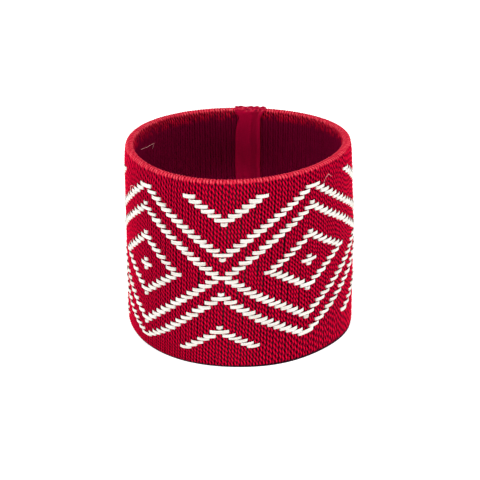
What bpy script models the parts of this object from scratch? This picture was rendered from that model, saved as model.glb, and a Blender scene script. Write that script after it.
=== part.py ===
"""A rigid woven cuff bracelet: straws woven through red cord wound round a stiff hoop.

Metres, +Z up along the cuff's axis. The origin is the centre of the flat bottom edge,
the front of the cuff faces -Y and its seam is at +Y.
"""

import math

import bmesh
import bpy
import numpy as np
from mathutils import Matrix, Vector

# Driving dimensions of the whole cuff.
OUTER_RADIUS = 0.0340
WALL = 0.00295
HEIGHT = 0.0582
INNER_RADIUS = OUTER_RADIUS - WALL

# The wound cord: its layer outside, inside and over both rims.
OUTER_LAYER = 0.00075
INNER_LAYER = 0.00070
RIM_LAYER = 0.00080
TOP_RIM_ROUND = 0.00130
BOTTOM_RIM_ROUND = 0.00090
ROUND_POINTS = 5

# Free space between neighbouring pieces.
CLEARANCE = 0.00020
RIM_CLEARANCE = 0.00030

# The stiff hoop that the cord is wound on.
CORE_OUTER_RADIUS = 0.03265
CORE_THICKNESS = 0.00070

# The straws, one ring to a row, between the hoop and the outer layer of cord.
STRAW_ROWS = 37
STRAW_HEIGHT = 0.00092
STRAW_THICKNESS = 0.00020
# The rows are not quite even: heights of some of them, with the others evenly between.
MARKED_ROWS = (0, 12, 17, 32, 36)
MARKED_HEIGHTS = (0.05340, 0.03760, 0.03050, 0.01060, 0.00650)
# The rows climb towards +X: rise per metre of X at the top row and at the bottom row.
TOP_ROW_CLIMB = 0.031
BOTTOM_ROW_CLIMB = 0.096

# The ribbon that binds the seam: a loop round the wall.
RIBBON_THICKNESS = 0.00025
RIBBON_HALF_ANGLE = math.radians(7.6)
RIBBON_LIFT = 0.00010
RIBBON_ROUND = 0.00110

# Angles left open at the seam, each side of +Y, and the steps of each sweep.
FACET = math.radians(9.0)
WRAP_HALF_GAP = math.radians(9.0)
CORE_HALF_GAP = math.radians(0.3)
STRAW_HALF_GAP = math.radians(0.9)
RIBBON_STEPS = 4
SEAM_ANGLE = math.radians(90.0)
SHARP_ANGLE = math.radians(35.0)

PARTS = "woven_cuff_bracelet"
CUTTERS = "cutters"

CORD_RED = (0.52, 0.006, 0.030, 1.0)
RIBBON_RED = (0.24, 0.002, 0.020, 1.0)
STRAW_CREAM = (0.88, 0.85, 0.76, 1.0)
CORE_BLACK = (0.012, 0.010, 0.010, 1.0)


def clear_scene():
    """Remove the objects that the file opened with."""
    for obj in list(bpy.data.objects):
        bpy.data.objects.remove(obj, do_unlink=True)


def make_collection(name):
    collection = bpy.data.collections.new(name)
    bpy.context.scene.collection.children.link(collection)
    return collection


def make_material(name, colour, roughness):
    material = bpy.data.materials.new(name)
    material.use_nodes = True
    shader = material.node_tree.nodes["Principled BSDF"]
    shader.inputs["Base Color"].default_value = colour
    shader.inputs["Roughness"].default_value = roughness
    shader.inputs["Metallic"].default_value = 0.0
    material.diffuse_color = colour
    return material


def rounded_section(inner, outer, bottom, top, bottom_round, top_round):
    """A rectangle in the radius-height plane, counter-clockwise, with rounded corners."""
    corners = (
        (inner + bottom_round, bottom + bottom_round, bottom_round, 180.0),
        (outer - bottom_round, bottom + bottom_round, bottom_round, 270.0),
        (outer - top_round, top - top_round, top_round, 0.0),
        (inner + top_round, top - top_round, top_round, 90.0),
    )
    points = []
    for centre_r, centre_z, radius, start in corners:
        for i in range(ROUND_POINTS):
            turn = math.radians(start + 90.0 * i / (ROUND_POINTS - 1))
            points.append((centre_r + radius * math.cos(turn), centre_z + radius * math.sin(turn)))
    return points


def box_section(inner, outer, bottom, top):
    """A plain rectangle in the radius-height plane, counter-clockwise."""
    return [(inner, bottom), (outer, bottom), (outer, top), (inner, top)]


def swept(section, start, sweep, steps):
    """A mesh made by turning a closed section about Z, with its two ends filled."""
    mesh = bmesh.new()
    lead = Vector((math.cos(start), math.sin(start), 0.0))
    verts = [mesh.verts.new(lead * r + Vector((0.0, 0.0, z))) for r, z in section]
    edges = [mesh.edges.new((verts[i - 1], verts[i])) for i in range(len(verts))]
    bmesh.ops.spin(
        mesh, geom=verts + edges, axis=(0, 0, 1), cent=(0, 0, 0), angle=sweep, steps=steps
    )
    open_edges = [edge for edge in mesh.edges if edge.is_boundary]
    bmesh.ops.holes_fill(mesh, edges=open_edges, sides=0)
    bmesh.ops.recalc_face_normals(mesh, faces=mesh.faces)
    return mesh


def open_ring(section, half_gap):
    """A ring turned from one side of the seam round the front to the other side."""
    sweep = 2.0 * math.pi - 2.0 * half_gap
    return swept(section, SEAM_ANGLE + half_gap, sweep, round(sweep / FACET))


def add_object(name, mesh, collection, material=None):
    """Finish a mesh as a smooth-shaded object of its own."""
    data = bpy.data.meshes.new(name)
    mesh.to_mesh(data)
    mesh.free()
    data.shade_smooth()
    data.set_sharp_from_angle(angle=SHARP_ANGLE)
    if material:
        data.materials.append(material)
    obj = bpy.data.objects.new(name, data)
    collection.objects.link(obj)
    return obj


def add_cutter(name, mesh, collection):
    cutter = add_object(name, mesh, collection)
    cutter.hide_render = True
    cutter.display_type = "WIRE"
    return cutter


def cut(obj, cutter):
    modifier = obj.modifiers.new("hollow", "BOOLEAN")
    modifier.operation = "DIFFERENCE"
    modifier.solver = "EXACT"
    modifier.object = cutter


def add_core_band(parts, material):
    """The stiff hoop: one strip bent round until its ends butt at the seam."""
    margin = RIM_LAYER + RIM_CLEARANCE
    section = box_section(
        CORE_OUTER_RADIUS - CORE_THICKNESS, CORE_OUTER_RADIUS, margin, HEIGHT - margin
    )
    add_object("core_band", open_ring(section, CORE_HALF_GAP), parts, material)


def add_wrap_cord(parts, cutters, material):
    """The wound cord as one sleeve round the hoop, open at the seam."""
    section = rounded_section(
        INNER_RADIUS, OUTER_RADIUS, 0.0, HEIGHT, BOTTOM_RIM_ROUND, TOP_RIM_ROUND
    )
    wrap = add_object("wrap_cord", open_ring(section, WRAP_HALF_GAP), parts, material)
    hollow = box_section(
        INNER_RADIUS + INNER_LAYER, OUTER_RADIUS - OUTER_LAYER, RIM_LAYER, HEIGHT - RIM_LAYER
    )
    cut(wrap, add_cutter("wrap_hollow", open_ring(hollow, CORE_HALF_GAP), cutters))


def add_straws(parts, material):
    """One flat straw to a row, each a little more skewed than the row above it."""
    inner = CORE_OUTER_RADIUS + CLEARANCE
    for row in range(STRAW_ROWS):
        share = row / (STRAW_ROWS - 1)
        climb = TOP_ROW_CLIMB + (BOTTOM_ROW_CLIMB - TOP_ROW_CLIMB) * share
        middle = float(np.interp(row, MARKED_ROWS, MARKED_HEIGHTS))
        section = box_section(
            inner, inner + STRAW_THICKNESS, middle - STRAW_HEIGHT / 2, middle + STRAW_HEIGHT / 2
        )
        ring = open_ring(section, STRAW_HALF_GAP)
        skew = Matrix.Identity(4)
        skew[2][0] = climb
        bmesh.ops.transform(ring, matrix=skew, verts=ring.verts)
        add_object(f"weft_straw_{row + 1:02d}", ring, parts, material)


def add_seam_ribbon(parts, cutters, material):
    """The ribbon that closes the seam: a loop over both rims and both faces of the wall."""
    start = SEAM_ANGLE - RIBBON_HALF_ANGLE
    sweep = 2.0 * RIBBON_HALF_ANGLE
    bottom = RIBBON_LIFT
    top = HEIGHT + RIBBON_LIFT
    section = rounded_section(INNER_RADIUS, OUTER_RADIUS, bottom, top, RIBBON_ROUND, RIBBON_ROUND)
    ribbon = add_object("seam_ribbon", swept(section, start, sweep, RIBBON_STEPS), parts, material)
    inside = rounded_section(
        INNER_RADIUS + RIBBON_THICKNESS,
        OUTER_RADIUS - RIBBON_THICKNESS,
        bottom + RIBBON_THICKNESS,
        top - RIBBON_THICKNESS,
        RIBBON_ROUND - RIBBON_THICKNESS,
        RIBBON_ROUND - RIBBON_THICKNESS,
    )
    # The cutter is one step longer at each end, with its steps in line with the ribbon's.
    step = sweep / RIBBON_STEPS
    hollow = swept(inside, start - step, sweep + 2.0 * step, RIBBON_STEPS + 2)
    cut(ribbon, add_cutter("ribbon_hollow", hollow, cutters))


def main():
    clear_scene()
    parts = make_collection(PARTS)
    cutters = make_collection(CUTTERS)
    cord = make_material("red_cord", CORD_RED, 0.55)
    ribbon = make_material("red_ribbon", RIBBON_RED, 0.40)
    straw = make_material("pale_straw", STRAW_CREAM, 0.35)
    core = make_material("black_core", CORE_BLACK, 0.60)
    add_core_band(parts, core)
    add_wrap_cord(parts, cutters, cord)
    add_straws(parts, straw)
    add_seam_ribbon(parts, cutters, ribbon)


main()
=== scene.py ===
"""Looks of a woven cuff bracelet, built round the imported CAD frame.

Red two-ply cords are wound in pairs over a dark core, pale flat straws are woven round the
band over and under the pairs, and a satin ribbon covers the seam. Metres, +Z up, front at -Y.
"""
import math

import bpy
import numpy as np
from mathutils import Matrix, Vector


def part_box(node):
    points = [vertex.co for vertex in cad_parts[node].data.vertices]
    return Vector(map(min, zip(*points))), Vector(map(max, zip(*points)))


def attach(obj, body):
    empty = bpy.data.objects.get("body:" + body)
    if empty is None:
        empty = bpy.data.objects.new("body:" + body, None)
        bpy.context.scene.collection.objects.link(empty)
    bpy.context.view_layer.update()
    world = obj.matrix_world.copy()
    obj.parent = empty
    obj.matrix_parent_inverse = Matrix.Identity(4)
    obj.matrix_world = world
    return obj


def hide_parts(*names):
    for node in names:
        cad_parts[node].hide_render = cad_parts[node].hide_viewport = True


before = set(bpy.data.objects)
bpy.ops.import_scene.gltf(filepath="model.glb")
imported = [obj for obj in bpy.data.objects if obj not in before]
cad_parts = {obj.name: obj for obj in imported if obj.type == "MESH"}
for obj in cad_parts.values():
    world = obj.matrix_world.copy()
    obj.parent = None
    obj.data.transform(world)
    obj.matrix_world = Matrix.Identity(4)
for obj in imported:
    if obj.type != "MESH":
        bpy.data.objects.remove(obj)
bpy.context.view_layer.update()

MM = 0.001
DEGREE = math.pi / 180
TAU = 2 * math.pi
SEED = 11

# The band, from the frame
WRAP_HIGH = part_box("wrap_cord")[1]
OUTER_RADIUS = WRAP_HIGH.x
HEIGHT = WRAP_HIGH.z
WALL = 2.95 * MM

# The band is not quite round: (waves round it, cosine share and sine share of the radius)
BASE_SHAPE = ((2, -0.0359, 0.0226), (3, 0.0228, -0.0240))
RIM_SHAPE = ((2, 0.0010, -0.0037), (3, 0.0244, -0.0040))
# The bottom edge bulges a little at this angle, up to this share of the height
BULGE = 0.030
BULGE_ANGLE = 30 * DEGREE
BULGE_WIDTH = 22 * DEGREE
BULGE_LEVEL = 0.5
# The right side stands out a little at half height
BELLY = 0.42 * MM
BELLY_ANGLE = 97 * DEGREE
BELLY_WIDTH = 28 * DEGREE
# The outer face draws in a little towards the rim
RIM_TUCK = 0.55 * MM
RIM_TUCK_DEPTH = 5.0 * MM

# ---- rows, columns and pattern

ROWS = 37
FIRST_ROW_Z = 53.4 * MM
LAST_ROW_Z = 6.5 * MM
# The rows are not quite even: these rows lie at these heights, the others evenly between
MARKED_ROWS = (0, 12, 17, 32, ROWS - 1)
MARKED_HEIGHTS = (FIRST_ROW_Z, 37.6 * MM, 30.5 * MM, 10.6 * MM, LAST_ROW_Z)
# The pitch that would go on above the first row and below the last
END_PITCH = 1.2 * MM
# The rows climb to one side: the direction, and the rise for each metre at four heights
CLIMB_SIDE = 7.1 * DEGREE
CLIMB_HEIGHTS = (0.0, LAST_ROW_Z, FIRST_ROW_Z, HEIGHT)
CLIMB = (0.0, 0.0963, 0.0310, 0.0155)
# On the right the middle rows lie higher: the angles where this starts and is whole, and
# the heights where it starts, is whole, starts to fade and is gone
RIGHT_LIFT = 0.80 * MM
RIGHT_LIFT_ANGLES = (15 * DEGREE, 35 * DEGREE)
RIGHT_LIFT_HEIGHTS = (6 * MM, 11 * MM, 27 * MM, 35 * MM)
# The upper rows sag a little at both sides, with four such heights
TOP_SAG = 0.7 * MM
TOP_SAG_HEIGHTS = (34 * MM, 48 * MM, 54 * MM, 57 * MM)

# Columns are counted in pairs of cords from the middle of the front
PAIRS = 112
PAIR_ANGLE = TAU / PAIRS
COLUMN_ZERO = 2.14 * DEGREE
# The pairs lie a little closer just beside the front, and wider apart at the sides
SIDE_SPREAD = 5.3 * DEGREE
FRONT_TIGHTNESS = 0.55 * DEGREE
BESIDE_FRONT = (5 * DEGREE, 25 * DEGREE)
# How far the cords lean for each metre down the outside
LEAN_RATE = -3.89 * DEGREE / (FIRST_ROW_Z - LAST_ROW_Z)

REPEAT = 28
MIDDLE = REPEAT // 2
# Stripes: first row, last row, centre column, offset of each side at row 0, offset added a row
STRIPES = (
    (0, 4, 0, 5.5, -1),
    (1, 12, MIDDLE, 0.5, 1),
    (6, 17, MIDDLE, -4.5, 1),
    (13, 18, MIDDLE, -11.5, 1),
)
# Marks where stripes meet: row, column, width
MARKS = (
    (5, 0, 3), (6, 0, 1), (0, MIDDLE, 3), (13, 0, 3), (14, 0, 1), (4, MIDDLE, 1),
    (5, MIDDLE, 3), (18, 0, 3), (11, MIDDLE, 1), (12, MIDDLE, 3), (17, MIDDLE, 1),
    (18, MIDDLE, 3),
)

# ---- cords

# Two cords side by side make a pair; each is of two plies
CORD_RADIUS = 0.475 * MM
CORD_SPREAD = 0.235
PLY_RADIUS = 0.272 * MM
PLY_OFFSET = 0.215 * MM
PLY_REACH = PLY_OFFSET + PLY_RADIUS
CORD_PLIES = ((0, 0), (0, 1), (1, 0), (1, 1))
# Length of one twist of the plies
LAY = 2.94 * MM
LAY_VARIATION = 0.03
SECTORS = 8
RINGS_OUTSIDE = 186
RINGS_INSIDE = 103
PLY_SIDES = 6
PLY_ANGLES = np.arange(PLY_SIDES) * TAU / PLY_SIDES
# The cords wander sideways in slow waves
WOBBLE = 0.035 * MM
WANDER_WAVES = (1, 2, 3)
WANDER_DRAWS = 7
WAVE_RATE = 1.3
# The straws push the cords in or out, within this share of a row
PRESS_UNDER_FLOAT = 0.10 * MM
PUSH_OVER_STRAW = 0.03 * MM
STRAW_REACH = 0.62

# Slits between pairs, just right of the front and elsewhere; ranges of place, reach, opening
FRONT_SLITS = 44
FRONT_SLIT_RANGES = ((0.08, 0.92), (0.04, 0.14), (0.6, 1.0))
SLIT_COLUMN = 3.5
SLIT_SPREAD = 5.0
OTHER_SLITS = 50
OTHER_SLIT_RANGES = ((0.1, 0.9), (0.03, 0.10), (0.4, 0.9))
SLIT_OPENING = 0.15 * MM
SLIT_SHARPNESS = 3

# The wall is flat on top between rounded corners
RIM_CORNER = 0.5 * MM
# Where the surface faces this far inwards, it is the inside of the wall
FACES_IN = -0.9
# Inside, over the rim and under the base the plies are pressed closer
SMOOTHING = 0.16 * MM
RIM_PRESSED = 0.6
BASE_PRESSED = 0.7
UNDER_SLOPE = 1.5
# On the rim the cords are flattened and spread as well; this is where the rim begins
RIM_FLATTENED = 0.55
RIM_WIDENED = 0.12
RIM_SLOPE = 2.2
RIM_START = 0.20
# The rim carries a painted pale highlight, least in the middle of its flat top, and a little on
# its inner side
FLAT_TOP_DULL = 0.35
FLAT_TOP_WIDTH = 0.4
INNER_HIGHLIGHT = 0.3
UNEVEN_HIGHLIGHT = 0.25
# Inside the wall the rim's lit colour gives way to painted shade, from this far under the top and
# over this depth, to a ragged edge
ROLL_START = 1.0 * MM
ROLL_DEPTH = 2.8 * MM
RAGGED_EDGE = 0.55
# The painted shade inside the wall lightens further down, over this depth
INSIDE_SHADE_DEPTH = 34 * MM
# The share of the cord's height at which its crown starts to come out of the painted shade between
# plies and cords
CROWN_START = 0.25
# How far the fibres turn with the ply
FIBRE_TURN = 0.6

# Stray fibres, each by four knots: degrees round the band, height and radius in millimetres
FIBRE_RADIUS = 0.07 * MM
FIBRE_RINGS = 25
FIBRE_SIDES = 6
STRAY_FIBRES = (
    ((-104, 52.9, 31.0), (-111, 52.4, 30.6), (-118, 52.4, 30.6), (-117, 50.6, 30.9)),
    ((-60, 49.0, 34.1), (-58.5, 50.6, 34.6), (-55.5, 51.3, 34.6), (-53, 51.2, 34.2)),
    ((55, 52.2, 34.1), (55.5, 54.4, 34.6), (58, 55.2, 34.6), (61.5, 53.9, 34.2)),
)

# ---- straws

STRAW_WIDTH = 1.11 * MM
# A straw is narrower where its rows are closer than this pitch
EVEN_PITCH = 1.25 * MM
STRAW_THICKNESS = 0.18 * MM
FLOAT_RADIUS = OUTER_RADIUS - 0.02 * MM
FLOAT_ARCH = 0.26 * MM
HIDDEN_RADIUS = OUTER_RADIUS - 1.08 * MM
HIDDEN_WIDTH = 0.8
STRAW_STEP = 0.40 * MM
HIDDEN_STEP = 2.0 * MM
# How much the floats differ in tilt, height, width and lift
TILT_SPREAD = 1.1 * DEGREE
SLIP_SPREAD = 0.05 * MM
BROAD_SPREAD = 0.05
PROUD_SPREAD = 0.03
# How a float comes up at its ends: distance inside the pair's edge, share of the lift, width
RISE = (
    (-0.17 * MM, 0.00, 0.70),
    (-0.13 * MM, 0.25, 0.78),
    (-0.07 * MM, 0.52, 0.86),
    (0.02 * MM, 0.74, 0.93),
    (0.16 * MM, 0.89, 0.98),
    (0.40 * MM, 1.00, 1.00),
)
# One straw's section: place across (-1 to 1) and place through (-1 inside, 1 outside)
STRAW_SECTION = (
    (-0.90, -1.0), (0.0, -1.0), (0.90, -1.0), (1.0, 0.0), (0.86, 0.75), (0.50, 0.98),
    (0.42, 0.62), (0.34, 1.02), (-0.26, 1.04), (-0.34, 0.64), (-0.42, 1.0), (-0.86, 0.75),
    (-1.0, 0.0),
)
STRAW_GROUPS = 5
# How far apart two rows are in the pattern of the grain
GRAIN_APART = 3.7

# ---- core

CORE_OUTER = OUTER_RADIUS - 1.20 * MM
CORE_INNER = OUTER_RADIUS - 1.95 * MM
CORE_MARGIN = 0.80 * MM
CORE_CORNER = 0.2 * MM
CORE_STEPS = 240
CORE_RINGS = 24

# ---- ribbon

# It is folded over the rim; half widths inside, and on the rim and outside
RIBBON_ANGLE = 180.1 * DEGREE
RIBBON_LEFT = (4.25 * MM, 4.55 * MM)
RIBBON_RIGHT = (4.25 * MM, 5.60 * MM)
# It starts to widen this far under the rim, reaches this share there, and goes on in the fold
WIDENING_DEPTH = 5 * MM
WIDE_AT_RIM = 0.35
WIDE_FROM = 0.6
WIDE_UNTIL = 2.4
# Just below the rim it draws in to a neck: depths under the top, and how much narrower
NECK_DEPTHS = (1.5 * MM, 2.3 * MM, 3.3 * MM, 4.7 * MM, 7.3 * MM, 12.4 * MM)
NECK_NARROWER = (0, 1.15 * MM, 1.15 * MM, 0.55 * MM, 0.30 * MM, 0)
NECK_ON_RIGHT = 0.35
RIBBON_THICKNESS = 0.22 * MM
RIBBON_GAP = 0.04 * MM
RIBBON_OVER_STRAWS = 0.26 * MM
RIBBON_COLUMNS = 36
RIBBON_RINGS_UP = 90
RIBBON_RINGS_OVER = 26
# How far the ribbon stands off across its width: (place across 0 to 1, distance)
RIBBON_PROFILE = (
    (0.00, 0.02 * MM), (0.04, 0.10 * MM), (0.09, 0.03 * MM), (0.30, 0.04 * MM),
    (0.56, 0.02 * MM), (0.66, -0.14 * MM), (0.80, -0.14 * MM), (0.88, 0.10 * MM),
    (0.95, 0.12 * MM), (1.00, 0.03 * MM),
)
# The folds over the rim and under the base are boxier and flatter than half circles
FOLD_SQUARENESS = 0.80
FOLD_HEIGHT = 0.93
FOLD_BELOW = 0.80
CORNER_DROP = 0.10 * MM
# The edges waver: (how far, length for a radian, phase)
WAVERS = ((0.07 * MM, 4.1 * MM, 0), (0.05 * MM, 1.7 * MM, 1))
# Wrinkles are two crossing waves: (length for a radian, radians across)
WRINKLE_HEIGHT = 0.04 * MM
WRINKLES = ((2.9 * MM, 6), (7.3 * MM, -4))
# Over the rim the ribbon is frayed and lumpy
FRAYED_SHARE = 0.85
FRAYED_SLOPE = 2.2
FRAYED_START = 0.3
FRAYED_LUMPS = 0.24 * MM
LUMP_LENGTH = 0.42 * MM
LUMP_SLANT, LUMP_WAVES, LUMP_PHASE = 9, 17, 2
# The shade value of the ribbon is 0 outside, and this much at the top of the inner run
RIBBON_INSIDE = 0.1
# The ribbon's width in the pattern of its weave
WEAVE_WIDTH = 8.6

# ---- stage, lights and camera

FLOOR_SIZE = 3.0
FLOOR_HEIGHT = -0.05 * MM
FLOOR_GREY = (0.6, 0.6, 0.6, 1)
# The floor glows less inside the band: between these radii, from and to these strengths
GLOW_RADII = (20.0 * MM, 29.0 * MM)
GLOW = (0.40, 0.80)
# The dark ring of floor under the wall, a painted contact shadow, from inside its outer face to
# past its inner face
CONTACT_HEIGHT = -0.03 * MM
CONTACT_INSET = 0.30 * MM
CONTACT_INSIDE = 1.0 * MM
CONTACT_STEPS = 180
CONTACT_SHADOW_COLOUR = (0.05, 0.012, 0.045, 1)
# The sky fades from white at the horizon: (height, colour)
SKY_FADE = ((0.04, (1.0, 1.0, 1.0)), (0.20, (0.035, 0.035, 0.05)))
# Name, azimuth and elevation in degrees, distance, width, height, power
SOFTBOXES = (
    ("left_softbox", -58, 12, 0.9, 0.6, 0.35, 5.5),
    ("right_softbox", 66, 12, 0.9, 0.6, 0.35, 5.5),
    ("top_softbox", 0, 87, 1.2, 0.3, 0.3, 13.0),
)
CAMERA_AZIMUTH = 7.1 * DEGREE
CAMERA_ELEVATION = 23.43 * DEGREE
CAMERA_DISTANCE = 408 * MM
CAMERA_LENS = 99.65
CAMERA_SENSOR = 36
# What the camera looks at: how far right of the axis, and the height
TARGET_RIGHT = 1.045 * MM
TARGET_HEIGHT = 25.88 * MM

# Sockets of a colour Mix node
MIX_FIRST, MIX_SECOND, MIX_RESULT = 6, 7, 2
WHITE = (1.0, 1.0, 1.0)

rng = np.random.default_rng(SEED)


# ---- shape of the band

def waviness(shape, angle):
    """How far out of round the band is at these angles, as a share of its radius."""
    total = 0.0
    for waves, cosine, sine in shape:
        total = total + cosine * np.cos(waves * angle) + sine * np.sin(waves * angle)
    return total


def eased(value, start, end):
    """0 up to the start, 1 from the end on, and a smooth rise between them."""
    share = np.clip((value - start) / (end - start), 0, 1)
    return share * share * (3 - 2 * share)


def between(value, limits):
    """A smooth rise from the first limit to the second and fall from the third to the fourth."""
    return eased(value, *limits[:2]) * (1 - eased(value, *limits[2:]))


def place(angle, radius, height):
    """Points at these angles round the band (0 at the front, + towards +X), radii and heights."""
    level = height / HEIGHT
    swell = (1 - level) * waviness(BASE_SHAPE, angle) + level * waviness(RIM_SHAPE, angle)
    turned = np.remainder(angle + math.pi, TAU) - math.pi
    away = (turned - BULGE_ANGLE) / BULGE_WIDTH
    swell = swell + BULGE * np.clip(1 - level / BULGE_LEVEL, 0, 1) ** 2 * np.exp(-away ** 2)
    away = (turned - BELLY_ANGLE) / BELLY_WIDTH
    belly = BELLY * np.exp(-away ** 2) * np.sin(math.pi * np.clip(level, 0, 1)) ** 2
    reach = radius + OUTER_RADIUS * swell + belly
    x = reach * np.sin(angle)
    y = -reach * np.cos(angle)
    side = x * math.cos(CLIMB_SIDE) + y * math.sin(CLIMB_SIDE)
    z = height + side * np.interp(height, CLIMB_HEIGHTS, CLIMB)
    lifted = eased(turned, *RIGHT_LIFT_ANGLES) * eased(math.pi - turned, 0, math.pi / 2)
    z = z + RIGHT_LIFT * lifted * between(height, RIGHT_LIFT_HEIGHTS)
    z = z - TOP_SAG * between(height, TOP_SAG_HEIGHTS) * np.sin(angle) ** 2
    return np.stack(np.broadcast_arrays(x, y, z), axis=-1)


def column_angle(column, height):
    """The angle of a column of the pattern at a height on the outside, where the cords lean."""
    even = COLUMN_ZERO + column * PAIR_ANGLE
    turned = (even + math.pi) % TAU - math.pi
    away = abs(turned)
    beside = eased(away, *BESIDE_FRONT) * eased(math.pi - away, 0, math.pi / 2)
    spread = math.sin(away) ** 4 * SIDE_SPREAD - beside * FRONT_TIGHTNESS
    spread = spread * (1 if turned > 0 else -1)
    return even + spread + LEAN_RATE * (FIRST_ROW_Z - height)


def local_spacing(column):
    """How much wider than even the pairs lie at a column."""
    return (column_angle(column + 0.5, 0) - column_angle(column - 0.5, 0)) / PAIR_ANGLE


def row_height(row):
    """The height of a row of straw, or of a place between rows."""
    rows = (MARKED_ROWS[0] - 1, *MARKED_ROWS, MARKED_ROWS[-1] + 1)
    heights = (FIRST_ROW_Z + END_PITCH, *MARKED_HEIGHTS, LAST_ROW_Z - END_PITCH)
    return float(np.interp(row, rows, heights))


def floats_in_row(row):
    """(centre column, width) of every float in a row, all round the band."""
    depth = min(row, ROWS - 1 - row)
    found = []
    for first, last, centre, offset, step in STRIPES:
        if first <= depth <= last:
            reach = offset + step * depth
            found.append((centre - reach, 2))
            found.append((centre + reach, 2))
    for mark_row, column, width in MARKS:
        if mark_row == depth:
            found.append((column, width))
    repeats = range(0, PAIRS, REPEAT)
    everywhere = sorted((centre + start, width) for start in repeats for centre, width in found)
    return [one for one in everywhere if not under_ribbon(one[0], row)]


def under_ribbon(column, row):
    """Whether the middle of a float at this column would lie under the ribbon."""
    from_seam = column_angle(column, row_height(row)) - RIBBON_ANGLE
    from_seam = (from_seam + math.pi) % TAU - math.pi
    return -RIBBON_RIGHT[1] < from_seam * OUTER_RADIUS < RIBBON_LEFT[1]


def float_map():
    """For each row and column, whether the straw runs over that pair."""
    over = np.zeros((ROWS, PAIRS), dtype=bool)
    for row in range(ROWS):
        for centre, width in floats_in_row(row):
            first = int(round(centre - (width - 1) / 2))
            over[row, [column % PAIRS for column in range(first, first + width)]] = True
    return over


# ---- mesh helpers

def new_object(name, vertices, faces_of_four, caps=(), attributes=None):
    """A smooth-shaded object from arrays of points, quads and n-sided caps."""
    vertices = vertices.reshape(-1, 3)
    loops = np.concatenate([faces_of_four.ravel()] + [np.asarray(c).ravel() for c in caps])
    totals = [4] * len(faces_of_four) + [len(c) for c in caps]
    totals = np.array(totals, dtype=np.int32)
    starts = np.concatenate(([0], np.cumsum(totals)[:-1])).astype(np.int32)
    mesh = bpy.data.meshes.new(name)
    mesh.vertices.add(len(vertices))
    mesh.vertices.foreach_set("co", vertices.astype(np.float32).ravel())
    mesh.loops.add(len(loops))
    mesh.loops.foreach_set("vertex_index", loops.astype(np.int32))
    mesh.polygons.add(len(totals))
    mesh.polygons.foreach_set("loop_start", starts)
    mesh.polygons.foreach_set("loop_total", totals)
    mesh.update(calc_edges=True)
    mesh.validate()
    mesh.shade_smooth()
    for key, values in (attributes or {}).items():
        kind, field = ("FLOAT_VECTOR", "vector") if values.ndim > 1 else ("FLOAT", "value")
        layer = mesh.attributes.new(key, kind, "POINT")
        layer.data.foreach_set(field, values.astype(np.float32).ravel())
    obj = bpy.data.objects.new(name, mesh)
    bpy.context.scene.collection.objects.link(obj)
    return obj


def grid_faces(rings, sides, close_rings):
    """Quads over rings of points; the sides always close, the rings only when asked."""
    ring = np.arange(rings if close_rings else rings - 1)[:, None]
    side = np.arange(sides)[None, :]
    next_ring = (ring + 1) % rings
    next_side = (side + 1) % sides
    corners = (
        ring * sides + side,
        ring * sides + next_side,
        next_ring * sides + next_side,
        next_ring * sides + side,
    )
    return np.stack(np.broadcast_arrays(*corners), axis=-1).reshape(-1, 4)


def tube_faces(count, rings, sides):
    """Quads and end caps of so many equal tubes, one after another."""
    firsts = np.arange(count) * rings * sides
    tube = grid_faces(rings, sides, close_rings=False)
    end = np.arange(sides)
    caps = [first + cap for first in firsts for cap in (end[::-1], (rings - 1) * sides + end)]
    return np.concatenate([first + tube for first in firsts]), caps


def finish_piece(obj, material, slot, *nodes):
    """Gives a piece its material and body, and hides the CAD nodes it stands for; the slot is not
    used.
    """
    obj.data.materials.append(material)
    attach(obj, "root")
    if nodes:
        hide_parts(*nodes)
    return obj


# ---- materials

def node_material(name):
    """A new material with only a Principled shader and its output."""
    material = bpy.data.materials.new(name)
    material.use_nodes = True
    nodes = material.node_tree.nodes
    nodes.clear()
    output = nodes.new("ShaderNodeOutputMaterial")
    shader = nodes.new("ShaderNodeBsdfPrincipled")
    material.node_tree.links.new(shader.outputs["BSDF"], output.inputs["Surface"])
    return material, shader


def add_node(material, kind, **settings):
    """A new node in a material or the world."""
    node = material.node_tree.nodes.new(kind)
    for key, value in settings.items():
        setattr(node, key, value)
    return node


def join(material, source, target):
    material.node_tree.links.new(source, target)


def ramp(material, source, stops):
    """A colour ramp fed by source; stops are (position, colour)."""
    node = add_node(material, "ShaderNodeValToRGB")
    elements = node.color_ramp.elements
    while len(elements) < len(stops):
        elements.new(0.5)
    for element, (position, colour) in zip(elements, stops):
        element.position = position
        element.color = (*colour, 1.0)
    join(material, source, node.inputs["Fac"])
    return node.outputs["Color"]


def attribute(material, name):
    return add_node(material, "ShaderNodeAttribute", attribute_name=name).outputs


def noise(material, vector, stretch=(1, 1, 1), detail=3.0, scale=1.0):
    """Noise over a vector that is first scaled by stretch on each axis."""
    mapping = add_node(material, "ShaderNodeMapping")
    mapping.inputs["Scale"].default_value = stretch
    join(material, vector, mapping.inputs["Vector"])
    node = add_node(material, "ShaderNodeTexNoise")
    node.inputs["Scale"].default_value = scale
    node.inputs["Detail"].default_value = detail
    join(material, mapping.outputs["Vector"], node.inputs["Vector"])
    return node.outputs["Fac"]


def bump(material, shader, height, strength, distance):
    node = add_node(material, "ShaderNodeBump")
    node.inputs["Strength"].default_value = strength
    node.inputs["Distance"].default_value = distance
    join(material, height, node.inputs["Height"])
    join(material, node.outputs["Normal"], shader.inputs["Normal"])


def multiplied(material, colour, *others):
    """The product of several colours."""
    for other in others:
        node = add_node(material, "ShaderNodeMix", data_type="RGBA", blend_type="MULTIPLY")
        node.inputs["Factor"].default_value = 1.0
        join(material, colour, node.inputs[MIX_FIRST])
        join(material, other, node.inputs[MIX_SECOND])
        colour = node.outputs[MIX_RESULT]
    return colour


def blended(material, factor, first, second):
    """The first colour where factor is 0 and the second where it is 1."""
    node = add_node(material, "ShaderNodeMix", data_type="RGBA")
    join(material, factor, node.inputs["Factor"])
    join(material, first, node.inputs[MIX_FIRST])
    join(material, second, node.inputs[MIX_SECOND])
    return node.outputs[MIX_RESULT]


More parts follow.
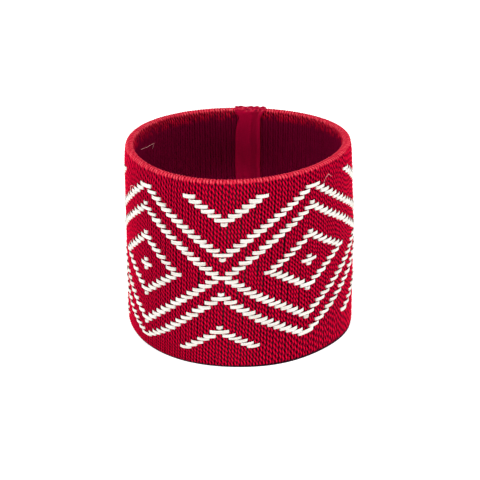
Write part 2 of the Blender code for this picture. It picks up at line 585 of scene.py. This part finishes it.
def finish_surface(material, shader, colour, roughness, specular=0.5):
    join(material, colour, shader.inputs["Base Color"])
    shader.inputs["Roughness"].default_value = roughness
    shader.inputs["Specular IOR Level"].default_value = specular


def cord_material():
    """Twisted dyed thread: fibres along each ply, painted shade between plies and between cords, a
    painted highlight on the rim, and painted shade inside the wall and under the base.
    """
    material, shader = node_material("red_cord")
    fibre = attribute(material, "fibre")["Vector"]
    keys = ("crown", "rim", "inside", "depth", "under")
    crown, rim, inside, depth, under = (attribute(material, key)["Fac"] for key in keys)
    strands = noise(material, fibre, stretch=(0.5, 9.0, 1.0), detail=4.0)
    patches = noise(material, fibre, stretch=(0.11, 0.3, 7.0), detail=2.0)
    # Painted shade: darkest in the crevices between plies and between cords, lighter on the crowns
    crevice_shade_colour = ramp(material, crown, (
        (0.0, (0.072, 0.0003, 0.0160)), (0.22, (0.22, 0.0003, 0.0180)),
        (0.50, (0.48, 0.0004, 0.0250)), (0.90, (0.75, 0.0006, 0.0350)),
    ))
    # Painted highlight on the rim: pale pink on the crowns, with painted shade between plies
    rim_highlight_colour = ramp(material, crown, (
        (0.0, (0.50, 0.0045, 0.0290)), (0.25, (0.57, 0.0100, 0.0370)),
        (0.60, (0.68, 0.0270, 0.0560)), (0.92, (0.82, 0.1050, 0.1300)),
    ))
    # Painted shade inside the wall: dark and purplish near the top, lighter further down
    inside_shade_colour = ramp(material, depth, (
        (0.0, (0.16, 0.0004, 0.0230)), (0.35, (0.23, 0.0005, 0.0360)),
        (0.65, (0.34, 0.0006, 0.0560)), (1.0, (0.48, 0.0008, 0.0800)),
    ))
    strand_colour = ramp(material, strands, (
        (0.25, (0.62, 0.55, 0.60)), (0.55, (0.98, 0.98, 0.98)), (0.8, WHITE),
    ))
    patch_colour = ramp(material, patches, ((0.3, (0.84, 0.80, 0.82)), (0.65, WHITE)))
    # Painted shade, purplish, where the cords face down under the base
    under_shade_colour = ramp(material, under, ((0.2, WHITE), (0.9, (0.30, 0.30, 0.60))))
    colour = blended(material, rim, crevice_shade_colour, rim_highlight_colour)
    colour = blended(material, inside, colour, inside_shade_colour)
    colour = multiplied(material, colour, under_shade_colour, strand_colour, patch_colour)
    finish_surface(material, shader, colour, 0.6, 0.01)
    bump(material, shader, strands, 0.55, 0.04 * MM)
    return material


def straw_material():
    """Pale split straw: faint lengthwise lines, creamier in places, painted shade where it runs
    hidden.
    """
    material, shader = node_material("pale_straw")
    grain = attribute(material, "grain")["Vector"]
    shown = attribute(material, "shown")["Fac"]
    lines = noise(material, grain, stretch=(0.12, 3.2, 1.0), detail=3.0)
    patches = noise(material, grain, stretch=(0.25, 0.5, 1.0), detail=2.0)
    line_colour = ramp(material, lines, (
        (0.30, (0.54, 0.50, 0.43)), (0.46, (0.675, 0.655, 0.61)), (0.7, (0.73, 0.715, 0.675)),
    ))
    patch_colour = ramp(material, patches, ((0.3, (0.92, 0.90, 0.85)), (0.6, WHITE)))
    # Painted shade where the straw runs hidden behind the cords
    hidden_shade_colour = ramp(material, shown, (
        (0.30, (0.05, 0.03, 0.03)), (0.62, (0.55, 0.50, 0.48)), (0.85, WHITE),
    ))
    colour = multiplied(material, line_colour, patch_colour, hidden_shade_colour)
    finish_surface(material, shader, colour, 0.42, 0.3)
    bump(material, shader, lines, 0.4, 0.03 * MM)
    return material


def ribbon_material():
    """Ribbed satin ribbon: fine crosswise ribs, a painted highlight on its raised selvedges,
    painted shade in its sunken folded channel, and painted shade that lightens down the inside.
    """
    material, shader = node_material("satin_ribbon")
    weave = attribute(material, "weave")["Vector"]
    keys = ("across", "fold", "depth")
    across, fold, depth = (attribute(material, key)["Fac"] for key in keys)
    ribs = noise(material, weave, stretch=(7.0, 0.5, 1.0), detail=2.0)
    threads = noise(material, weave, stretch=(0.25, 6.0, 1.0), detail=3.0)
    patches = noise(material, weave, stretch=(0.12, 0.5, 1.0), detail=2.0)
    # Painted highlight on the raised selvedges and painted shade in the sunken folded channel,
    # following the ribbon's profile
    band_colour = ramp(material, across, (
        (0.00, (0.93, 0.0014, 0.0940)), (0.07, (0.95, 0.0014, 0.0960)),
        (0.12, (0.85, 0.0012, 0.0860)), (0.56, (0.87, 0.0012, 0.0880)),
        (0.64, (0.70, 0.0010, 0.0720)), (0.82, (0.70, 0.0010, 0.0720)),
        (0.89, (0.97, 0.0014, 0.0960)), (1.00, (0.95, 0.0014, 0.0940)),
    ))
    # Painted shade: half as bright outside and at the top of the inner run, lighter further down
    # inside
    ribbon_shade_colour = ramp(material, depth, (
        (0.0, (0.50, 0.50, 0.27)), (RIBBON_INSIDE, (0.50, 0.50, 0.37)),
        (0.41, (0.66, 0.66, 0.64)), (0.68, (0.88, 0.88, 0.88)), (1.0, WHITE),
    ))
    band_colour = multiplied(material, band_colour, ribbon_shade_colour)
    frayed = noise(material, weave, stretch=(1.3, 1.1, 1.0), detail=3.0)
    frayed_colour = ramp(material, frayed, (
        (0.34, (0.10, 0.0010, 0.0150)), (0.46, (0.42, 0.0030, 0.0320)),
        (0.62, (0.60, 0.0150, 0.0450)), (0.74, (0.75, 0.3000, 0.3000)),
    ))
    band_colour = blended(material, fold, band_colour, frayed_colour)
    rib_colour = ramp(material, ribs, ((0.3, (0.80, 0.78, 0.80)), (0.7, WHITE)))
    thread_colour = ramp(material, threads, ((0.3, (0.86, 0.84, 0.86)), (0.65, WHITE)))
    patch_colour = ramp(material, patches, ((0.3, (0.85, 0.82, 0.84)), (0.65, WHITE)))
    colour = multiplied(material, band_colour, rib_colour, thread_colour, patch_colour)
    finish_surface(material, shader, colour, 0.45, 0.03)
    bump(material, shader, ribs, 0.35, 0.03 * MM)
    return material


def core_material():
    """Dark stiff sheet with a fine leathery grain."""
    material, shader = node_material("dark_core")
    where = add_node(material, "ShaderNodeTexCoord").outputs["Object"]
    grain = noise(material, where, detail=4.0, scale=1400.0)
    colour = ramp(material, grain, ((0.3, (0.010, 0.009, 0.008)), (0.7, (0.030, 0.026, 0.022))))
    finish_surface(material, shader, colour, 0.6)
    bump(material, shader, grain, 0.5, 0.05 * MM)
    return material


def fibre_material():
    """Pale pink fuzz."""
    material, shader = node_material("stray_fibre")
    where = add_node(material, "ShaderNodeTexCoord").outputs["Object"]
    tint = noise(material, where, detail=2.0, scale=1500.0)
    colour = ramp(material, tint, ((0.35, (0.42, 0.10, 0.11)), (0.65, (0.78, 0.42, 0.40))))
    finish_surface(material, shader, colour, 0.6)
    return material


# ---- the wound cords

def turn_section():
    """One turn over the wall as arrays, by name.

    It starts inside just below the rim and goes over the rim, down the outside, under the
    bottom edge and up the inside."""
    corner = RIM_CORNER
    outer = OUTER_RADIUS - CORD_RADIUS - corner
    inner = OUTER_RADIUS - WALL + CORD_RADIUS + corner
    top = HEIGHT - CORD_RADIUS - corner
    bottom = CORD_RADIUS + corner
    quarter = math.pi / 2 * corner
    parts = (0, quarter, outer - inner, quarter, top - bottom)
    parts = (*parts, quarter, outer - inner, quarter, top - bottom)
    ends = np.cumsum(parts)
    outside = np.linspace(0, ends[7], RINGS_OUTSIDE, endpoint=False)
    inside = np.linspace(ends[7], ends[8], RINGS_INSIDE, endpoint=False)
    length = np.concatenate((outside, inside))
    turned = np.interp(length, ends, np.array((0, 1, 1, 2, 2, 3, 3, 4, 4)) * math.pi / 2)
    normal_out = -np.cos(turned)
    normal_up = np.sin(turned)
    sides = (inner, inner, outer, outer, outer, outer, inner, inner, inner)
    levels = (top, top, top, top, bottom, bottom, bottom, bottom, top)
    radius = np.interp(length, ends, sides) + corner * normal_out
    height = np.interp(length, ends, levels) + corner * normal_up
    down = (length >= ends[3]) & (length < ends[4])
    near_rim = np.clip((height - (HEIGHT - RIM_TUCK_DEPTH)) / RIM_TUCK_DEPTH, 0, 1)
    outer_share = np.clip((radius - inner) / (outer - inner), 0, 1)
    radius = radius - RIM_TUCK * near_rim ** 2 * outer_share

    # Below the rim the inner run is painted in shade
    rolled = 1 - np.clip((HEIGHT - ROLL_START - height) / ROLL_DEPTH, 0, 1)
    inner_run = normal_out < FACES_IN
    inside_share = np.where(inner_run, 1 - rolled, 0)
    over_top = np.clip(normal_up * RIM_SLOPE - RIM_START, 0, 1)
    # Painted highlight where the cords face up over the rim, weaker on the middle of the flat top,
    # and a little on the inner side just under the rim
    flat_top = np.exp(-((turned - math.pi / 2) / FLAT_TOP_WIDTH) ** 2)
    rim_highlight_share = over_top * (1 - FLAT_TOP_DULL * flat_top)
    rim_highlight_share = np.maximum(rim_highlight_share, np.where(inner_run, INNER_HIGHLIGHT * rolled ** 2, 0))
    # How far the surface faces down: it presses the plies and sets the painted shade under the
    # base
    under = np.clip(-normal_up * UNDER_SLOPE, 0, 1)
    pressed = np.maximum(inside_share, RIM_PRESSED * over_top + BASE_PRESSED * under)
    depth = np.where(inner_run, np.clip((HEIGHT - height) / INSIDE_SHADE_DEPTH, 0, 1), 0)

    full_lean = LEAN_RATE * (top - bottom)
    leans = (0, 0, full_lean, full_lean, -PAIR_ANGLE)
    lean = np.interp(length, (0, ends[3], ends[4], ends[7], ends[8]), leans)
    return {
        "radius": radius, "height": height, "out": normal_out, "up": normal_up, "lean": lean,
        "length": length, "total": ends[8], "top": top, "down": down,
        "inside": inside_share, "rim_highlight": rim_highlight_share, "pressed": pressed,
        "depth": depth, "under": under, "over_top": over_top,
    }


def press_of_straws(over, column, height):
    """How far the straws push a pair of cords in (under a float) or out (over the straw)."""
    rows = np.interp(-height, -np.array(MARKED_HEIGHTS), MARKED_ROWS)
    rows = rows - np.maximum(height - FIRST_ROW_Z, 0) / END_PITCH
    rows = rows + np.maximum(LAST_ROW_Z - height, 0) / END_PITCH
    nearest = np.clip(np.round(rows).astype(int), 0, ROWS - 1)
    closeness = eased(1 - np.abs(rows - nearest) / STRAW_REACH, 0, 1)
    amount = np.where(over[nearest, column % PAIRS], -PRESS_UNDER_FLOAT, PUSH_OVER_STRAW)
    return amount * closeness


def slit_drift(slits, column, run):
    """How far a pair stands aside, + towards +X, where a slit opens beside it."""
    drift = 0 * run
    for left_column, middle, reach, opening in slits:
        side = {left_column: -1, left_column + 1: 1}.get(column, 0)
        if side:
            closeness = np.clip(1 - np.abs(run - middle) / reach, 0, 1)
            drift = drift + side * opening / 2 * np.minimum(closeness * SLIT_SHARPNESS, 1)
    return drift


def draw_slit(column, places, reaches, openings):
    middle = rng.uniform(*places)
    reach = rng.uniform(*reaches)
    return column, middle, reach, rng.uniform(*openings) * SLIT_OPENING


def make_slits():
    """Dark slits between pairs: (pair on the left, place down the band, reach, opening)."""
    slits = []
    for _ in range(FRONT_SLITS):
        column = int(round(rng.normal(SLIT_COLUMN, SLIT_SPREAD)))
        slits.append(draw_slit(column, *FRONT_SLIT_RANGES))
    for _ in range(OTHER_SLITS):
        column = int(rng.integers(PAIRS // 2 - PAIRS, PAIRS // 2))
        slits.append(draw_slit(column, *OTHER_SLIT_RANGES))
    return slits


def cord_path(section, wander, slits, over, turn, cord):
    """The middle line of one turn of a cord: its angle and radius, and the local spacing."""
    column = PAIRS // 2 - turn
    run = np.clip((section["top"] - section["height"]) / section["top"], 0, 1)
    window = np.where(section["down"], 1.0, 0.0) * np.sin(math.pi * run)
    drift = wander[turn, cord, 0] * window
    for wave in WANDER_WAVES:
        phase = wander[turn, cord, len(WANDER_WAVES) + wave] * TAU
        strength = wander[turn, cord, wave]
        drift = drift + strength * window * np.sin(TAU * wave * run * WAVE_RATE + phase)
    drift = drift * WOBBLE + slit_drift(slits, column, run) * window
    spacing = local_spacing(column)
    side_step = (2 * cord - 1) * CORD_SPREAD * PAIR_ANGLE * spacing
    angle = column_angle(column, section["top"]) + section["lean"] + side_step
    angle = angle + drift / OUTER_RADIUS
    press = press_of_straws(over, column, section["height"])
    return angle, section["radius"] + np.where(section["down"], press, 0), spacing


def ply_rings(section, phase, spacing):
    """Rings of points round one ply: how far out and across they are, and their crown share."""
    ply_offset = PLY_OFFSET - section["pressed"] * SMOOTHING
    ply_radius = (PLY_RADIUS + section["pressed"] * SMOOTHING)[:, None]
    out = (ply_offset * np.cos(phase))[:, None] + ply_radius * np.cos(PLY_ANGLES)[None, :]
    across = (ply_offset * np.sin(phase))[:, None] + ply_radius * np.sin(PLY_ANGLES)[None, :]
    crown = np.clip((out / PLY_REACH - CROWN_START) / (1 - CROWN_START), 0, 1)
    over_top = section["over_top"][:, None]
    flat = RIM_FLATTENED * over_top
    out = out * (1 - flat) + PLY_REACH * flat
    across = across * spacing * (1 + RIM_WIDENED * over_top)
    return out, across, crown


def ply_turn(section, twist, wander, slits, over, turn, cord, ply):
    """One turn of one ply: its rings of points, and the values its material reads."""
    angle, centre_radius, spacing = cord_path(section, wander, slits, over, turn, cord)
    phase = twist["start"][turn, cord] + TAU * section["length"] / twist["lay"][turn, cord]
    phase = phase + ply * math.pi
    out, across, crown = ply_rings(section, phase, spacing)
    radius = centre_radius[:, None] + out * section["out"][:, None]
    height = section["height"][:, None] + out * section["up"][:, None]
    around = angle[:, None] + across / radius

    uneven = wander[turn, cord, 1 + ply]
    # The painted rim highlight is a little stronger or weaker on each ply
    rim_highlight = np.clip(section["rim_highlight"] * (1 + UNEVEN_HIGHLIGHT * uneven), 0, 1)
    # The edge of the painted inside shade is ragged from ply to ply
    change = 4 * section["inside"] * (1 - section["inside"])
    inside = np.clip(section["inside"] + RAGGED_EDGE * uneven * change, 0, 1)
    along = section["length"][:, None] / MM + 0 * out
    turned = (PLY_ANGLES[None, :] + phase[:, None] * FIBRE_TURN) * PLY_RADIUS / MM
    number = np.full_like(out, 4.0 * turn + 2 * cord + ply)
    values = {"fibre": np.stack((along, turned, number), axis=-1), "crown": crown}
    shares = {"rim": rim_highlight, "inside": inside, "depth": section["depth"], "under": section["under"]}
    for key, share in shares.items():
        values[key] = share[:, None] + 0 * out
    return place(around, radius, height), values


def add_cord_sector(name, turns, section, twist, wander, slits, over, material):
    """Neighbouring turns of both cords of the pair as one long winding, two plies to a cord."""
    rings = len(section["length"])
    points = []
    gathered = {}
    for cord, ply in CORD_PLIES:
        # the first ring of the next turn ends the winding
        for turn in (*turns, turns[-1] + 1):
            keep = 1 if turn > turns[-1] else rings
            tube, values = ply_turn(section, twist, wander, slits, over, turn, cord, ply)
            points.append(tube[:keep])
            for key, found in values.items():
                gathered.setdefault(key, []).append(found[:keep])
    attributes = {key: np.concatenate(found).ravel() for key, found in gathered.items()}
    attributes["fibre"] = attributes["fibre"].reshape(-1, 3)
    faces, caps = tube_faces(len(CORD_PLIES), rings * len(turns) + 1, PLY_SIDES)
    obj = new_object(name, np.concatenate(points), faces, caps, attributes)
    finish_piece(obj, material, "cord", "wrap_cord")


def add_cords(over):
    """All the wound cords, in sectors of neighbouring turns."""
    section = turn_section()
    lay = LAY * (1 + LAY_VARIATION * rng.standard_normal((PAIRS + 1, 2)))
    turned = TAU * section["total"] / lay
    start = np.cumsum(turned, axis=0) - turned + rng.uniform(0, TAU, (1, 2))
    twist = {"lay": lay, "start": start}
    wander = rng.uniform(-1, 1, (PAIRS + 1, 2, WANDER_DRAWS))
    slits = make_slits()
    material = cord_material()
    per_sector = PAIRS // SECTORS
    for sector in range(SECTORS):
        turns = range(sector * per_sector, (sector + 1) * per_sector)
        name = f"wound_cords_{sector + 1}"
        add_cord_sector(name, turns, section, twist, wander, slits, over, material)


def add_stray_fibres():
    """Fine fibres that stand off the cords: one inside at the left, loops near the first rows."""
    points = []
    round_it = (np.arange(FIBRE_SIDES) * TAU / FIBRE_SIDES)[None, :, None]
    for knots in STRAY_FIBRES:
        knot = range(len(knots))
        along = np.linspace(0, knot[-1], FIBRE_RINGS)
        angle, height, radius = (np.interp(along, knot, values) for values in zip(*knots))
        middle = place(np.radians(angle), radius * MM, height * MM)
        ahead = np.gradient(middle, axis=0)
        ahead = ahead / np.linalg.norm(ahead, axis=1)[:, None]
        side = np.cross(ahead, (0.0, 0.0, 1.0))
        side = side / np.linalg.norm(side, axis=1)[:, None]
        over = np.cross(side, ahead)
        ring = np.cos(round_it) * side[:, None] + np.sin(round_it) * over[:, None]
        points.append(middle[:, None] + FIBRE_RADIUS * ring)
    faces, caps = tube_faces(len(points), FIBRE_RINGS, FIBRE_SIDES)
    obj = new_object("stray_fibres", np.concatenate(points), faces, caps)
    finish_piece(obj, fibre_material(), "cord", "wrap_cord")


# ---- the woven straws

def hidden_stations(start, end):
    """Stations of a straw between two angles where it runs behind the cords."""
    count = int((end - start) * OUTER_RADIUS / HIDDEN_STEP)
    steps = range(1, count + 1)
    return [(start + (end - start) * step / (count + 1), 0, HIDDEN_WIDTH, 0) for step in steps]


def straw_path(row):
    """Stations once round a row: angle, share of lift, width share and height offset."""
    height = row_height(row)
    stations = []
    last_end = None
    for centre, width in floats_in_row(row):
        middle = column_angle(centre, height)
        half = width / 2 * PAIR_ANGLE
        tilt = rng.normal(0, TILT_SPREAD)
        slip = rng.normal(0, SLIP_SPREAD)
        broad = 1 + rng.normal(0, BROAD_SPREAD)
        proud = 1 + rng.normal(0, PROUD_SPREAD)
        reach = half * OUTER_RADIUS
        local = [(-reach + inside, lift, wide) for inside, lift, wide in RISE]
        flat = reach - RISE[-1][0]
        steps = max(2, int(round(2 * flat / STRAW_STEP)))
        for step in range(1, steps):
            distance = -flat + 2 * flat * step / steps
            local.append((distance, 2.0 - (distance / flat) ** 2, 1.0))
        local += [(reach - inside, lift, wide) for inside, lift, wide in reversed(RISE)]
        first = middle + local[0][0] / OUTER_RADIUS
        if last_end is not None:
            stations += hidden_stations(last_end, first)
        for distance, lift, wide in local:
            offset = slip + math.tan(tilt) * distance
            stations.append((middle + distance / OUTER_RADIUS, lift * proud, wide * broad, offset))
        last_end = stations[-1][0]
    stations += hidden_stations(last_end, stations[0][0] + TAU)
    return np.array(stations)


def add_straws():
    """Every straw, in groups of neighbouring rows."""
    material = straw_material()
    across, through = np.array(STRAW_SECTION).T
    groups = np.array_split(np.arange(ROWS), STRAW_GROUPS)
    for number, rows in enumerate(groups, start=1):
        points, grains, shown, faces = [], [], [], []
        offset = 0
        for row in rows:
            room = row_height(row - 0.5) - row_height(row + 0.5)
            width = STRAW_WIDTH * min(room / EVEN_PITCH, 1)
            angle, lift, wide, rise = straw_path(int(row)).T
            radius = HIDDEN_RADIUS + np.minimum(lift, 1) * (FLOAT_RADIUS - HIDDEN_RADIUS)
            radius = radius + np.maximum(lift - 1, 0) * FLOAT_ARCH
            ring_radius = radius[:, None] + through[None, :] * STRAW_THICKNESS / 2
            ring_height = row_height(row) + rise[:, None]
            ring_height = ring_height + across[None, :] * wide[:, None] * width / 2
            ring_angle = angle[:, None] + 0 * ring_height
            points.append(place(ring_angle, ring_radius, ring_height).reshape(-1, 3))
            along = ring_angle * OUTER_RADIUS / MM
            width_place = across[None, :] * STRAW_WIDTH / MM / 2 + 0 * along
            apart = 0 * along + GRAIN_APART * row
            grains.append(np.stack((along, width_place, apart), -1).reshape(-1, 3))
            # shown is 0 where the straw runs hidden, which the material paints in shade
            shown.append(np.repeat(np.clip(lift, 0, 1), len(across)))
            faces.append(grid_faces(len(angle), len(across), close_rings=True) + offset)
            offset += len(angle) * len(across)
        attributes = {"grain": np.concatenate(grains), "shown": np.concatenate(shown)}
        name = f"woven_straws_{number}"
        obj = new_object(name, np.concatenate(points), np.concatenate(faces), (), attributes)
        nodes = [f"weft_straw_{row + 1:02d}" for row in rows]
        finish_piece(obj, material, "straw", *nodes)


# ---- the core

def add_core():
    """The stiff hoop behind the cords and straws."""
    corner = CORE_CORNER
    low, high = CORE_MARGIN, HEIGHT - CORE_MARGIN
    heights = list(np.linspace(low + corner, high - corner, CORE_RINGS))
    section = [(CORE_OUTER - corner, low)] + [(CORE_OUTER, z) for z in heights]
    section += [(CORE_OUTER - corner, high), (CORE_INNER + corner, high)]
    section += [(CORE_INNER, z) for z in reversed(heights)] + [(CORE_INNER + corner, low)]
    angle = np.arange(CORE_STEPS)[:, None] * TAU / CORE_STEPS
    points = place(angle, *np.array(section).T)
    faces = grid_faces(CORE_STEPS, len(section), close_rings=True)
    obj = new_object("core_hoop", points, faces[:, ::-1])
    finish_piece(obj, core_material(), "core", "core_band")


# ---- the ribbon

def ribbon_loop():
    """The loop the ribbon follows round the wall: radius, height, outward, up, wrap, length.

    It goes up the inside, over the rim, down the outside and under the base. wrap is 0 on
    the inside run and 1 from the rim on."""
    inner = OUTER_RADIUS - WALL - RIBBON_GAP - RIBBON_THICKNESS / 2
    outer = OUTER_RADIUS + RIBBON_GAP + RIBBON_OVER_STRAWS + RIBBON_THICKNESS / 2
    bend = (outer - inner) / 2
    middle = (outer + inner) / 2
    top = HEIGHT - WALL / 2
    bottom = WALL / 2
    up = np.linspace(bottom, top, RIBBON_RINGS_UP, endpoint=False)
    arc = np.linspace(0, math.pi, RIBBON_RINGS_OVER, endpoint=False)
    arc_out = -np.sign(np.cos(arc)) * np.abs(np.cos(arc)) ** FOLD_SQUARENESS
    arc_up = np.sin(arc) ** FOLD_SQUARENESS
    down = np.linspace(top, bottom, RIBBON_RINGS_UP, endpoint=False)
    radius = np.concatenate((
        np.full_like(up, inner), middle + bend * arc_out,
        np.full_like(down, outer), middle - bend * arc_out,
    ))
    height = np.concatenate((
        up, top + bend * arc_up * FOLD_HEIGHT,
        down, bottom - bend * arc_up * FOLD_BELOW,
    ))
    normal_out = np.concatenate((
        np.full_like(up, -1), -np.cos(arc), np.full_like(down, 1), np.cos(arc),
    ))
    normal_up = np.concatenate((
        np.zeros_like(up), np.sin(arc), np.zeros_like(down), -np.sin(arc),
    ))
    near_top = np.clip((up - (top - WIDENING_DEPTH)) / WIDENING_DEPTH, 0, 1)
    wrap = np.concatenate((
        WIDE_AT_RIM * near_top ** 3, np.interp(arc, (0, WIDE_FROM), (WIDE_AT_RIM, 1.0)),
        np.ones_like(down), np.interp(arc, (WIDE_UNTIL, math.pi), (1.0, 0.0)),
    ))
    step = np.hypot(np.diff(radius, append=radius[:1]), np.diff(height, append=height[:1]))
    length = np.cumsum(step) - step
    return radius, height, normal_out, normal_up, wrap, length


def add_ribbon():
    """The ribbon as a closed loop round the wall, with two faces a thickness apart."""
    radius, height, normal_out, normal_up, wrap, length = ribbon_loop()
    share = np.linspace(0, 1, RIBBON_COLUMNS)
    left = RIBBON_LEFT[0] + wrap * (RIBBON_LEFT[1] - RIBBON_LEFT[0])
    right = RIBBON_RIGHT[0] + wrap * (RIBBON_RIGHT[1] - RIBBON_RIGHT[0])
    neck = (normal_out < 0) * np.interp(HEIGHT - height, NECK_DEPTHS, NECK_NARROWER)
    left = left - neck
    right = right - NECK_ON_RIGHT * neck
    waver = sum(far * np.sin(length / reach + phase) for far, reach, phase in WAVERS)
    width = -left[:, None] + (left + right)[:, None] * share[None, :] + waver[:, None]
    profile = np.interp(share, *zip(*RIBBON_PROFILE))
    wrinkle = WRINKLE_HEIGHT
    for reach, slant in WRINKLES:
        wrinkle = wrinkle * np.sin(length[:, None] / reach + slant * share[None, :])
    drop = np.clip(normal_up, 0, 1)[:, None] ** 3 * np.abs(2 * share - 1)[None, :] ** 5
    lumps = np.sin(length[:, None] / LUMP_LENGTH + LUMP_SLANT * share[None, :])
    lumps = lumps * np.sin(LUMP_WAVES * share[None, :] + LUMP_PHASE)
    lumps = FRAYED_LUMPS * lumps * np.clip(normal_up * 2, 0, 1)[:, None]
    face = profile[None, :] * (1 - 0.5 * wrap[:, None]) + wrinkle - CORNER_DROP * drop + lumps
    layers = []
    for side in (1, -1):
        out = (face if side > 0 else face[:, ::-1]) + side * RIBBON_THICKNESS / 2
        out = np.maximum(out, -RIBBON_THICKNESS / 2)
        across = width if side > 0 else width[:, ::-1]
        ring_radius = radius[:, None] + out * normal_out[:, None]
        ring_height = height[:, None] + out * normal_up[:, None]
        layers.append(place(RIBBON_ANGLE - across / ring_radius, ring_radius, ring_height))
    points = np.concatenate(layers, axis=1)
    fold = np.clip(normal_up * FRAYED_SLOPE - FRAYED_START, 0, 1) * FRAYED_SHARE
    # The painted shade of the ribbon lightens further down inside
    inside = np.clip((HEIGHT - height) / INSIDE_SHADE_DEPTH, 0, 1)
    depth = np.where(normal_out < 0, RIBBON_INSIDE + (1 - RIBBON_INSIDE) * inside, 0)
    both = np.concatenate((share, share[::-1]))
    grids = np.broadcast_arrays(both, *(one[:, None] for one in (length / MM, fold, depth)))
    across, along, fold, depth = (grid.ravel() for grid in grids)
    weave = np.stack((along, across * WEAVE_WIDTH, 0 * along), axis=-1)
    attributes = {"weave": weave, "across": across, "fold": fold, "depth": depth}
    faces = grid_faces(len(radius), 2 * RIBBON_COLUMNS, close_rings=True)
    obj = new_object("folded_ribbon", points, faces, (), attributes)
    finish_piece(obj, ribbon_material(), "ribbon", "seam_ribbon")


# ---- the stage

def add_stage_piece(name, points, faces, material):
    """A piece of the stage, which is not part of the object."""
    mesh = bpy.data.meshes.new(name)
    mesh.from_pydata(points, [], faces)
    mesh.materials.append(material)
    obj = bpy.data.objects.new(name, mesh)
    bpy.context.scene.collection.objects.link(obj)
    return obj


def add_contact_shadow():
    """The dark ring of floor that the wall of the band stands on, a painted contact shadow."""
    angle = np.arange(CONTACT_STEPS) * TAU / CONTACT_STEPS
    edges = (OUTER_RADIUS - CONTACT_INSET, OUTER_RADIUS - WALL - CONTACT_INSIDE)
    points = [tuple(point) for edge in edges for point in place(angle, edge, CONTACT_HEIGHT)]
    material, shader = node_material("painted_contact_shadow")
    shader.inputs["Base Color"].default_value = CONTACT_SHADOW_COLOUR
    shader.inputs["Roughness"].default_value = 0.9
    faces = []
    for step in range(CONTACT_STEPS):
        after = (step + 1) % CONTACT_STEPS
        faces.append((step, after, CONTACT_STEPS + after, CONTACT_STEPS + step))
    add_stage_piece("contact_shadow", points, faces, material)


def add_floor():
    """A white floor that glows like an overlit studio sweep, and less inside the band."""
    material, shader = node_material("white_floor")
    where = add_node(material, "ShaderNodeTexCoord").outputs["Object"]
    length = add_node(material, "ShaderNodeVectorMath", operation="LENGTH")
    join(material, where, length.inputs[0])
    spread = add_node(material, "ShaderNodeMapRange")
    spread.inputs["From Min"].default_value, spread.inputs["From Max"].default_value = GLOW_RADII
    spread.inputs["To Min"].default_value, spread.inputs["To Max"].default_value = GLOW
    join(material, length.outputs["Value"], spread.inputs["Value"])
    shader.inputs["Base Color"].default_value = FLOOR_GREY
    shader.inputs["Roughness"].default_value = 0.9
    shader.inputs["Emission Color"].default_value = (1, 1, 1, 1)
    join(material, spread.outputs["Result"], shader.inputs["Emission Strength"])
    size = FLOOR_SIZE
    corners = ((-size, -size, 0), (size, -size, 0), (size, size, 0), (-size, size, 0))
    floor = add_stage_piece("floor", corners, [(0, 1, 2, 3)], material)
    floor.location.z = FLOOR_HEIGHT


def add_softbox(name, azimuth, elevation, distance, width, height, power):
    """An area light round the object; azimuth 0 is in front of it, + towards +X."""
    light = bpy.data.lights.new(name, "AREA")
    light.shape = "RECTANGLE"
    light.size = width
    light.size_y = height
    light.energy = power
    obj = bpy.data.objects.new(name, light)
    turn, lift = math.radians(azimuth), math.radians(elevation)
    flat = distance * math.cos(lift)
    obj.location = (flat * math.sin(turn), -flat * math.cos(turn), distance * math.sin(lift))
    aim = Vector((0, 0, HEIGHT / 2)) - obj.location
    obj.rotation_euler = aim.to_track_quat("-Z", "Y").to_euler()
    bpy.context.scene.collection.objects.link(obj)


def light_scene():
    """A sky that is white low down and dark above, and three soft lights."""
    world = bpy.data.worlds.new("studio")
    world.use_nodes = True
    world.node_tree.nodes.clear()
    output = add_node(world, "ShaderNodeOutputWorld")
    background = add_node(world, "ShaderNodeBackground")
    where = add_node(world, "ShaderNodeTexCoord").outputs["Generated"]
    split = add_node(world, "ShaderNodeSeparateXYZ")
    join(world, where, split.inputs[0])
    join(world, ramp(world, split.outputs["Z"], SKY_FADE), background.inputs["Color"])
    join(world, background.outputs["Background"], output.inputs["Surface"])
    bpy.context.scene.world = world
    for softbox in SOFTBOXES:
        add_softbox(*softbox)


def add_camera():
    """The camera stands a little to the right of the front and looks down at the band."""
    right = Vector((math.cos(CAMERA_AZIMUTH), math.sin(CAMERA_AZIMUTH), 0))
    ahead = Vector((-math.sin(CAMERA_AZIMUTH), math.cos(CAMERA_AZIMUTH), 0))
    down = Vector((0, 0, math.sin(CAMERA_ELEVATION)))
    look = ahead * math.cos(CAMERA_ELEVATION) - down
    target = right * TARGET_RIGHT + Vector((0, 0, TARGET_HEIGHT))
    data = bpy.data.cameras.new("camera")
    data.sensor_width = CAMERA_SENSOR
    data.lens = CAMERA_LENS
    camera = bpy.data.objects.new("camera", data)
    camera.location = target - look * CAMERA_DISTANCE
    camera.rotation_euler = look.to_track_quat("-Z", "Y").to_euler()
    bpy.context.scene.collection.objects.link(camera)
    bpy.context.scene.camera = camera


# ---- make everything

add_cords(float_map())
add_stray_fibres()
add_straws()
add_core()
add_ribbon()
add_floor()
add_contact_shadow()
light_scene()
add_camera()
bpy.context.scene.view_settings.view_transform = "Standard"
